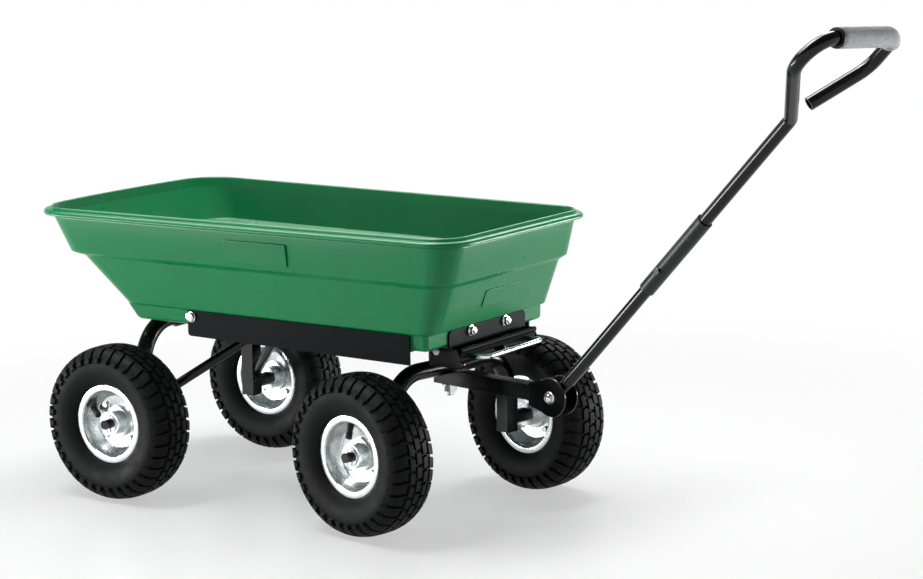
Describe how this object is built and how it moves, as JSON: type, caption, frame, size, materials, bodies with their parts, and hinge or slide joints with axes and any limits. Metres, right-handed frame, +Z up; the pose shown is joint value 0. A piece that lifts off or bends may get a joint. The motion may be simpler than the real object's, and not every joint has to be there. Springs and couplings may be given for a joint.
{
  "type": "tipping garden cart",
  "caption": "Garden dump cart: moulded tub tipping on a tubular steel frame with pneumatic wheels, a steered front axle, a folding pull handle and a sprung release latch.",
  "frame": {"origin": "on the ground under the middle of the cart as it stands", "axes": "+X forward towards the pull handle, +Y to the left, +Z up"},
  "size_m": [1.5125, 0.516, 0.8255],
  "materials": {
    "tyre": "matte",
    "valve_rubber": "matte",
    "rim_zinc": "bright zinc",
    "zinc": "zinc plated",
    "chrome": "polished",
    "tub_plastic": "fine satin moulding",
    "grip_foam": "closed-cell foam",
    "rail_paint": "satin black",
    "frame_paint": "gloss black"
  },
  "bodies": {
    "chassis": {"rear_arch": "frame_paint", "rear_posts": "frame_paint", "rear_stubs": "frame_paint", "rear_retainers": "zinc", "rear_braces": "frame_paint", "spine": "frame_paint", "cross_channel": "frame_paint", "channel_bolts": "zinc", "table_upper": "frame_paint", "kingpin": "zinc", "kingpin_nut": "zinc", "latch_pin": "frame_paint", "latch_spring": "chrome"},
    "tub": {"tub": "tub_plastic", "rail_left": "rail_paint", "rail_right": "rail_paint", "rail_bolts": "zinc", "latch_plate": "rail_paint", "plate_bolts": "zinc", "hinge_straps": "frame_paint", "strap_bolts": "zinc"},
    "front_axle": {"front_arch": "frame_paint", "front_posts": "frame_paint", "front_stubs": "frame_paint", "front_retainers": "zinc", "table_lower": "frame_paint", "drawbar": "frame_paint", "clevis": "frame_paint", "clevis_bolt": "zinc"},
    "handle": {"handle_lower": "frame_paint", "handle_sleeve": "frame_paint", "sleeve_bolt": "zinc", "handle_loop": "frame_paint", "grip": "grip_foam"},
    "latch": {"latch_lever": "rail_paint", "latch_bail": "chrome"},
    "wheel_rear_left": {"tyre_rl": "tyre", "rim_outer_rl": "rim_zinc", "rim_inner_rl": "rim_zinc", "hub_rl": "rim_zinc", "rim_bolts_rl": "rim_zinc", "valve_rl": "valve_rubber"},
    "wheel_rear_right": {"tyre_rr": "tyre", "rim_outer_rr": "rim_zinc", "rim_inner_rr": "rim_zinc", "hub_rr": "rim_zinc", "rim_bolts_rr": "rim_zinc", "valve_rr": "valve_rubber"},
    "wheel_front_left": {"tyre_fl": "tyre", "rim_outer_fl": "rim_zinc", "rim_inner_fl": "rim_zinc", "hub_fl": "rim_zinc", "rim_bolts_fl": "rim_zinc", "valve_fl": "valve_rubber"},
    "wheel_front_right": {"tyre_fr": "tyre", "rim_outer_fr": "rim_zinc", "rim_inner_fr": "rim_zinc", "hub_fr": "rim_zinc", "rim_bolts_fr": "rim_zinc", "valve_fr": "valve_rubber"}
  },
  "joints": [
    {"name": "steering", "type": "hinge", "parent": "chassis", "child": "front_axle", "pos_m": [-0.05389, 0, 0.242], "axis": [0, 0, 1], "range_deg": [-34.5, 55.5]},
    {"name": "handle_pivot", "type": "hinge", "parent": "front_axle", "child": "handle", "pos_m": [0.17422, -0.04228, 0.223], "axis": [-0.1822, -0.9833, 0], "range_deg": [-57.9, 44.1]},
    {"name": "tub_tip", "type": "hinge", "parent": "chassis", "child": "tub", "pos_m": [-0.57989, 0, 0.283], "axis": [0, -1, 0], "range_deg": [0, 70]},
    {"name": "latch_lever", "type": "hinge", "parent": "chassis", "child": "latch", "pos_m": [0.04261, 0, 0.2719], "axis": [0, 1, 0], "range_deg": [-10, 15], "stiffness_Nm_per_rad": 1.2},
    {"name": "roll_rl", "type": "hinge", "parent": "chassis", "child": "wheel_rear_left", "pos_m": [-0.57989, 0.213, 0.13], "axis": [0, 1, 0], "continuous": true},
    {"name": "roll_rr", "type": "hinge", "parent": "chassis", "child": "wheel_rear_right", "pos_m": [-0.57989, -0.213, 0.13], "axis": [0, 1, 0], "continuous": true},
    {"name": "roll_fl", "type": "hinge", "parent": "front_axle", "child": "wheel_front_left", "pos_m": [-0.01726, 0.19763, 0.13], "axis": [0.1822, 0.9833, 0], "continuous": true},
    {"name": "roll_fr", "type": "hinge", "parent": "front_axle", "child": "wheel_front_right", "pos_m": [-0.09052, -0.19763, 0.13], "axis": [0.1822, 0.9833, 0], "continuous": true}
  ]
}
